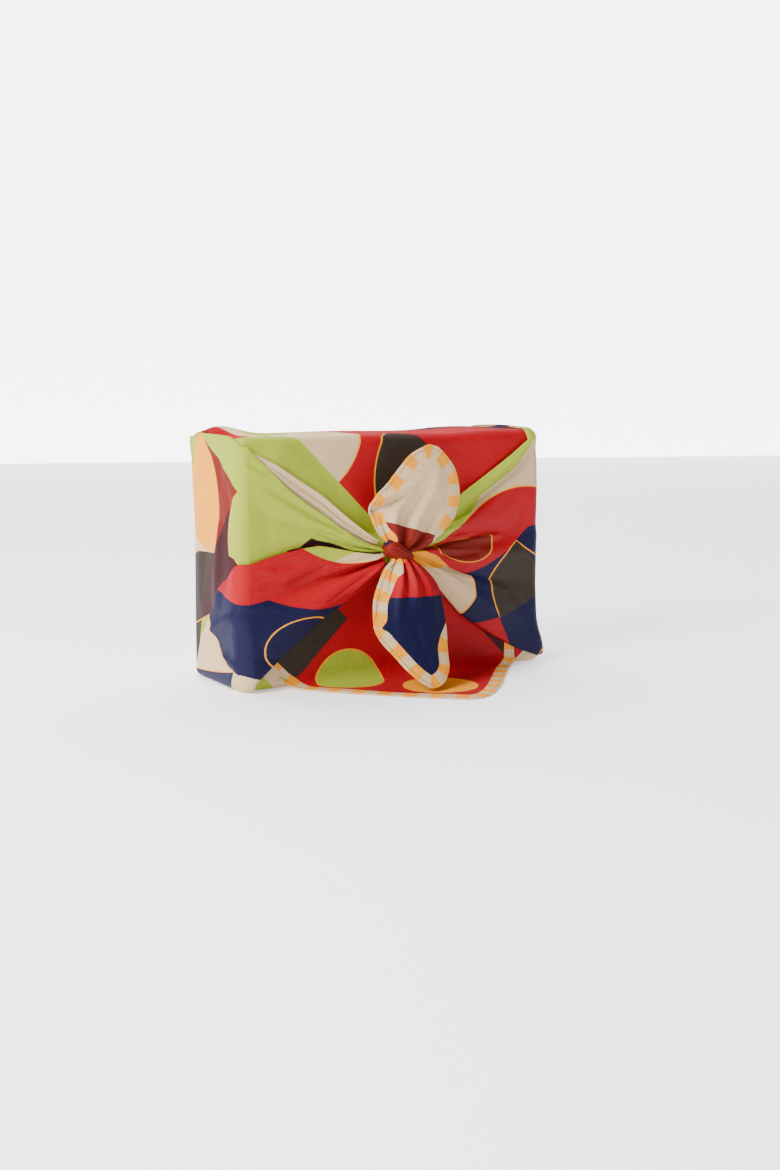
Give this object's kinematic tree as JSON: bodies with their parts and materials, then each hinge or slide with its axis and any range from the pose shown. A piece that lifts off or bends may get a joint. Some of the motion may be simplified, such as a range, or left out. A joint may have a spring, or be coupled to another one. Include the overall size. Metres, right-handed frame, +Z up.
{
  "type": "furoshiki wrap",
  "caption": "Box-shaped parcel wrapped in a square printed cloth, its side corners tied in a knot on the front, free ends above and below, and one corner lying forwards.",
  "frame": {"origin": "middle of the parcel's flat base, on the surface it stands on", "axes": "+Z up, -Y towards the knot side, +X to the right as seen from the knot side"},
  "size_m": [0.3073, 0.2175, 0.2166],
  "materials": {
    "cloth": "printed satin-faced cotton with a stitched hem"
  },
  "bodies": {
    "root": {"furoshiki_wrap": "cloth"}
  },
  "joints": []
}
